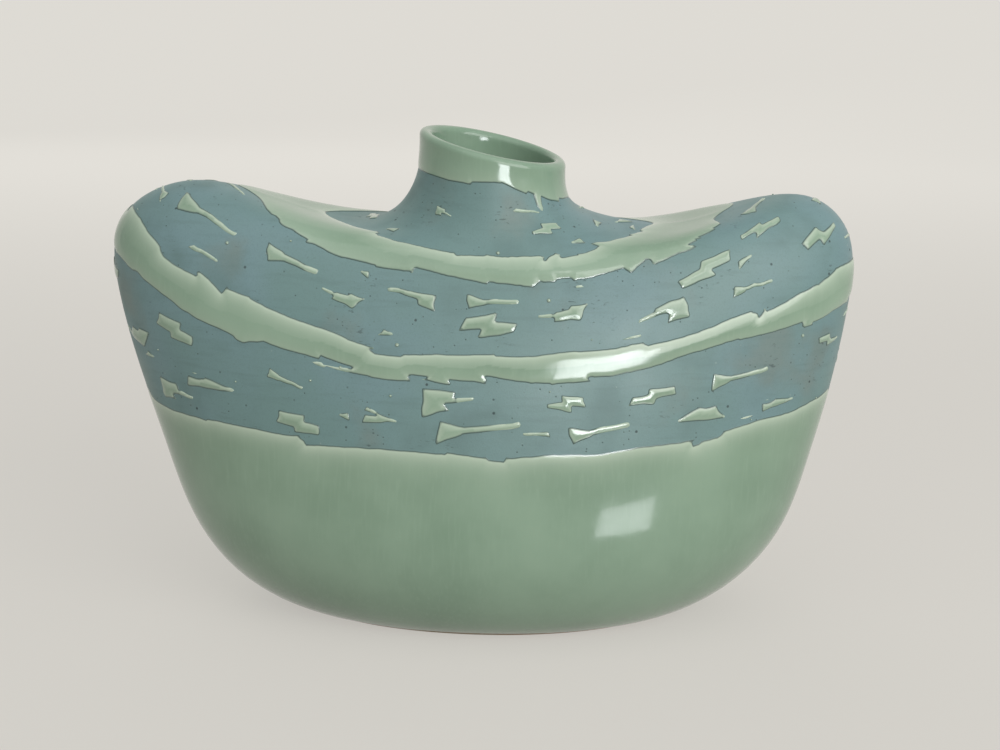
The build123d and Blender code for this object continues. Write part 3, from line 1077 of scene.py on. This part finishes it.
scrapHolder = shapeHolder("scrapShapes", flecks["scraps"], scrapField, 500)
sliverHolder = shapeHolder("sliverShapes", flecks["slivers"], sliverField, 700)
beadHolder = bpy.data.collections.new("beadShapes")
beadShape(beadHolder)
drape = drapeTree()
zones = (  # name, grid, lower and upper line, spacing, largest size, seed
    ("lower", lowerGrid, lines["belly"], lines["lowStripe"][0], 13 * mm, 1.2, 11),
    ("middle", middleGrid, lines["lowStripe"][1], lines["highStripe"][0], 13 * mm, 1.2, 12),
    ("neck", neckGrid, lines["highStripe"][1], lines["lip"], 15 * mm, 0.85, 17),
)
for zone, grid, lowLine, highLine, spacing, largest, seed in zones:
    clear = np.minimum(lineField(grid, lowLine), -lineField(grid, highLine))
    clear = np.where(grid["levels"] > flecks["highest"], 0, clear)
    scraps = draped(zone + "Scraps", grid, clear > flecks["scrapMargin"], drape, flecks["squeeze"], {
        "Shapes": scrapHolder, "Spacing": spacing, "Density": 60000.0,
        "Smallest": largest / 2, "Largest": largest,
        "Tilt": flecks["tilt"], "Kinds": flecks["scraps"] - 1, "Seed": seed, "Finish": celadon,
    })
    clear = np.minimum(clear, awayFrom(scraps, grid) - flecks["sliverGap"])
    draped(zone + "Slivers", grid, clear > flecks["sliverMargin"], drape, flecks["squeeze"], {
        "Shapes": sliverHolder, "Spacing": 8 * mm, "Density": 9000.0, "Smallest": 0.6, "Largest": 1.0,
        "Tilt": flecks["tilt"], "Kinds": flecks["slivers"] - 1, "Seed": seed + 10, "Finish": celadon,
    })
    draped(zone + "Beads", grid, clear > flecks["beadMargin"], drape, 1, {
        "Shapes": beadHolder, "Spacing": 7 * mm, "Density": 1200.0, "Smallest": 0.5, "Largest": 1.5,
        "Tilt": 0.0, "Kinds": 0, "Seed": seed + 20, "Finish": celadon,
    })
for holder in (scrapHolder, sliverHolder, beadHolder):
    for shape in list(holder.objects):
        bpy.data.objects.remove(shape)
    bpy.data.collections.remove(holder)


# Floor, light and camera
stage = {
    "floor": tint(180, 177, 171),
    "backdrop": tint(240, 237, 230),
    "glow": (0.54, 0.78),       # share of the paleness that doesn't wait for the lamps, near and far
    "worldLight": 0.45,
}
warmWhite = (1, 0.99, 0.98)
dayWhite = (0.94, 0.97, 1)
lamps = {  # place, aim, size, watts, colour
    "softbox": ((0.80, -1.00, 0.68), (0, 0, 0.09), (1.2, 0.9), 10, warmWhite),
    "overhead": ((0.15, -0.70, 1.4), (0, 0, 0.09), (2.2, 1.6), 6.5, (1, 1, 1)),
    "backFill": ((-0.40, 1.30, 0.80), (0, 0, 0.09), (2.0, 1.2), 8, (1, 1, 1)),
    "windowCard": ((0.125, -0.360, 0.155), (0.02, 0, 0.150), (0.10, 0.11), 0.46, dayWhite),
    "lowCard": ((0.112, -0.167, 0.025), (0.0536, -0.0553, 0.055), (0.046, 0.027), 0.021, dayWhite),
}
view = {  # fitted to the outline in the photo
    "sensor": 36,
    "lens": 54,
    "place": (0.003, -0.568, 0.2476),
    "down": 15.17,              # degrees, and so are the next two
    "right": 0.405,
    "roll": 1.49,
}


def stageFloor():
    wide, near, far, bend, high = 5, -4, 1.6, 0.8, 3
    arc = np.linspace(0, math.pi / 2, 24)
    curve = [(far + bend * math.sin(t), bend * (1 - math.cos(t))) for t in arc]
    profile = [(near, 0), *curve, (far + bend, high)]
    points = [(x, y, z) for y, z in profile for x in (-wide, wide)]
    mesh = bpy.data.meshes.new("floor")
    mesh.from_pydata(points, [], [(k, k + 1, k + 3, k + 2) for k in range(0, len(points) - 2, 2)])
    mesh.shade_smooth()
    finish = Finish("paleFloor")
    rays = finish.node("ShaderNodeLightPath", out="Is Camera Ray")
    for kind in ("Is Glossy Ray", "Is Transmission Ray"):
        rays = rays + finish.node("ShaderNodeLightPath", out=kind)
    plain = finish.node("ShaderNodeBsdfDiffuse", None, {"Color": stage["floor"]})
    glow = finish.node("ShaderNodeEmission", None, {"Color": stage["backdrop"]})
    away = finish.node("ShaderNodeSeparateXYZ", None, {"Vector": finish.place}, out="Y")
    share = finish.fade(away, 0.15, 1.5, *stage["glow"])
    shader = finish.node("ShaderNodeMixShader", None, {0: rays * share, 1: plain, 2: glow})
    finish.node("ShaderNodeOutputMaterial", None, {"Surface": shader})
    mesh.materials.append(finish.material)
    floor = linked("floor", mesh)


def worldLight():
    world = bpy.data.worlds.new("room")
    bpy.context.scene.world = world
    world.use_nodes = True
    tree = NodeTree(world.node_tree)
    rays = tree.node("ShaderNodeLightPath", out="Is Camera Ray")
    soft = tree.node("ShaderNodeBackground", None, {
        "Color": (*warmWhite, 1), "Strength": stage["worldLight"],
    })
    seen = tree.node("ShaderNodeBackground", None, {"Color": stage["backdrop"]})
    mix = tree.node("ShaderNodeMixShader", None, {0: rays, 1: soft, 2: seen})
    tree.node("ShaderNodeOutputWorld", None, {"Surface": mix})


def areaLight(name, place, aim, size, power, colour):
    lamp = bpy.data.lights.new(name, "AREA")
    lamp.shape = "RECTANGLE"
    lamp.size, lamp.size_y = size
    lamp.energy = power
    lamp.color = colour
    light = linked(name, lamp)
    light.location = place
    light.rotation_euler = (Vector(aim) - Vector(place)).to_track_quat("-Z", "Y").to_euler()
    return light


def photoCamera():
    camera = bpy.data.cameras.new("camera")
    camera.sensor_width = view["sensor"]
    camera.lens = view["lens"]
    camera.clip_start = 0.01
    holder = linked("camera", camera)
    pitch = math.radians(90 - view["down"])
    yaw = math.radians(-view["right"])
    roll = math.radians(view["roll"])
    turn = Matrix.Rotation(yaw, 4, "Z") @ Matrix.Rotation(pitch, 4, "X") @ Matrix.Rotation(roll, 4, "Z")
    holder.matrix_world = Matrix.Translation(view["place"]) @ turn
    bpy.context.scene.camera = holder


stageFloor()
worldLight()
lights = {name: areaLight(name, *values) for name, values in lamps.items()}
lights["backFill"].visible_glossy = False  # it only brightens the shaded side
for name in ("windowCard", "lowCard"):  # small cards that are only there to be mirrored in the gloss
    lights[name].visible_diffuse = False
    lights[name].visible_camera = False
photoCamera()
bpy.context.scene.view_settings.view_transform = "Standard"
